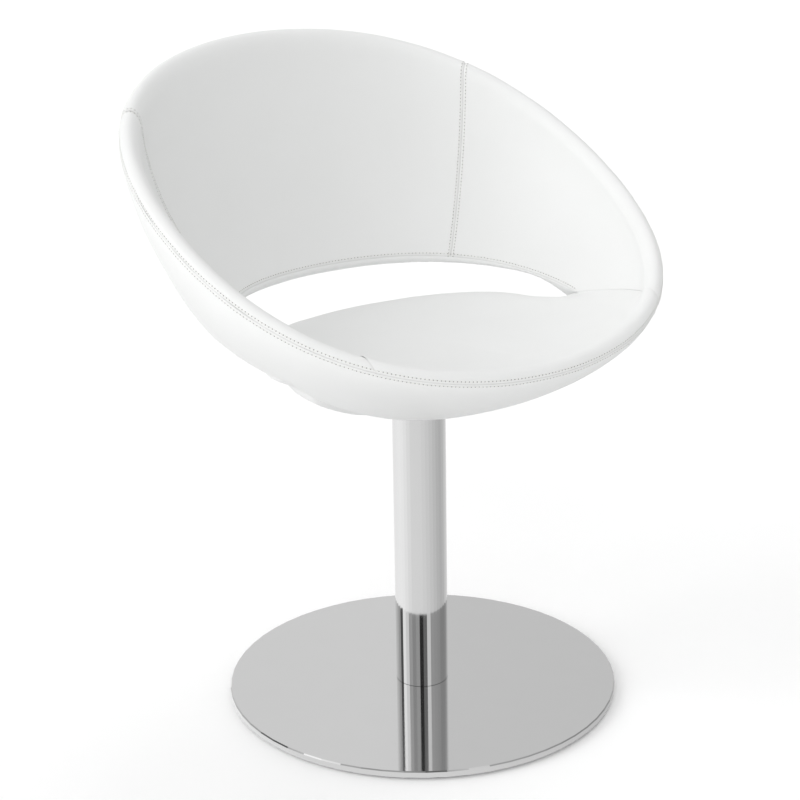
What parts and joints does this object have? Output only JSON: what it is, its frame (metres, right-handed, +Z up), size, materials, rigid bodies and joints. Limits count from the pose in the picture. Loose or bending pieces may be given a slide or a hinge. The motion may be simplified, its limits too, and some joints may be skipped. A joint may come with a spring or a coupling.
{
  "type": "barrel chair",
  "caption": "Open tub chair: a padded, seamed bowl with a curved back and a crescent slot behind the seat, swivelling on a round column and a flat floor plate.",
  "frame": {"origin": "on the floor, on the swivel axis, in the middle of the floor plate's underside", "axes": "+Z up along the swivel axis, -Y to the open front of the tub, +X to the sitter's left"},
  "size_m": [0.5858, 0.55, 0.7304],
  "materials": {
    "white_leather": "smooth, faintly grained, satin",
    "foam": "matt, open",
    "chrome": "mirror polished",
    "steel": "machined",
    "frame_paint": "satin powder coat",
    "board": "moulded, matt",
    "acetal": "turned",
    "webbing": "woven",
    "felt": "pressed"
  },
  "bodies": {
    "base": {"floor_pad": "felt", "base_disc": "chrome", "foot_plug": "steel", "base_washer": "steel", "base_bolt": "steel", "column_tube": "chrome", "upper_bush": "acetal", "lower_bush": "acetal", "lower_race": "steel"},
    "bearing": {"ball_cage": "steel"},
    "seat": {"upper_race": "steel", "spindle": "steel", "spindle_clip": "steel", "mounting_plate": "frame_paint", "frame_arm_1": "frame_paint", "frame_arm_2": "frame_paint", "frame_arm_3": "frame_paint", "frame_arm_4": "frame_paint", "arm_bolt_1": "steel", "arm_bolt_2": "steel", "arm_bolt_3": "steel", "arm_bolt_4": "steel", "seat_hoop": "frame_paint", "rim_hoop": "frame_paint", "band_bar": "frame_paint", "back_upright_1": "frame_paint", "back_upright_2": "frame_paint", "back_upright_3": "frame_paint", "back_upright_4": "frame_paint", "side_strut_1": "frame_paint", "side_strut_2": "frame_paint", "side_strut_3": "frame_paint", "side_strut_4": "frame_paint", "webbing_strap_1": "webbing", "webbing_strap_2": "webbing", "webbing_strap_3": "webbing", "webbing_strap_4": "webbing", "webbing_strap_5": "webbing", "seat_foam": "foam", "front_foam": "foam", "back_foam": "foam", "front_board": "board", "pan_board": "board", "outer_cover": "white_leather", "back_cover": "white_leather", "right_side_cover": "white_leather", "left_side_cover": "white_leather", "seat_cover": "white_leather", "pan_cover": "white_leather", "dust_cover": "webbing"}
  },
  "joints": [
    {"name": "seat_swivel", "type": "hinge", "parent": "base", "child": "seat", "pos_m": [0, 0, 0.35], "axis": [0, 0, 1], "continuous": true},
    {"name": "cage_turn", "type": "hinge", "parent": "base", "child": "bearing", "pos_m": [0, 0, 0.357], "axis": [0, 0, 1], "continuous": true}
  ],
  "couplings": [
    {"joint": "cage_turn", "follows": "seat_swivel", "ratio": 0.5}
  ]
}
